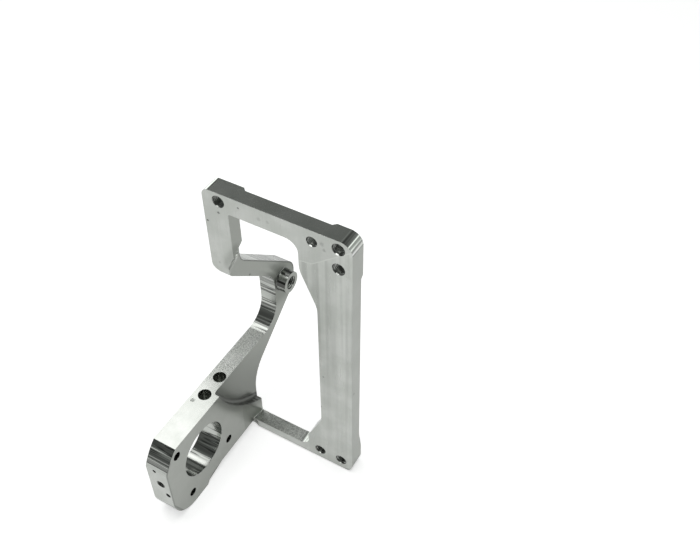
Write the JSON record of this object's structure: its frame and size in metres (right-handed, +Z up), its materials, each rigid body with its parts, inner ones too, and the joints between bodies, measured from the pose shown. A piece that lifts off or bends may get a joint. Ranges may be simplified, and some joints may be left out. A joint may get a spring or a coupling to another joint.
{
  "type": "machined corner bracket",
  "caption": "One-piece milled aluminium corner bracket: an open upright bolt-on frame with a side plate that carries a bored bearing arm, a raised boss and a slanting brace.",
  "frame": {"origin": "middle of the bounding box's bottom face, on the plane that the foot of the frame and the arm share", "axes": "+X along the frame's width towards its wide bar, +Y from the frame's front face towards the bossed head, +Z up the frame's height"},
  "size_m": [0.1, 0.1612, 0.222],
  "materials": {
    "milled_aluminium": "bright as-milled, satin flats and polished tool-cut rounds"
  },
  "bodies": {
    "root": {"bracket": "milled_aluminium"}
  },
  "joints": []
}
